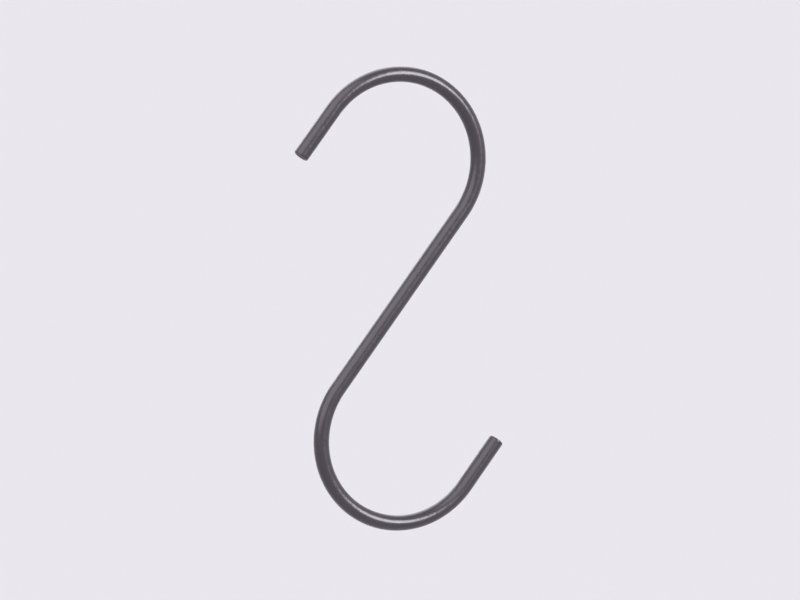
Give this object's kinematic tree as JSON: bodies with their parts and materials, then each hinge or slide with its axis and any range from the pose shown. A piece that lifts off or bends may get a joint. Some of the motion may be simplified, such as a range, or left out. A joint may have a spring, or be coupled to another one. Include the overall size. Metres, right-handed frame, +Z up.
{
  "type": "s hook",
  "caption": "Hanging hook bent from one round wire in an S, with a half-round loop and a short straight tail at each end, painted black.",
  "frame": {"origin": "the point of the upper loop's inner side that rests on top of the rail, on the wire's mid-plane", "axes": "+Z up, from the lower loop to the upper one; X across the loops in the plane of the wire, with the upper tail on -X and the lower tail on +X; Y across the wire, along the rail"},
  "size_m": [0.042, 0.003, 0.09],
  "materials": {
    "black_paint": "satin"
  },
  "bodies": {
    "root": {"s_hook": "black_paint"}
  },
  "joints": []
}
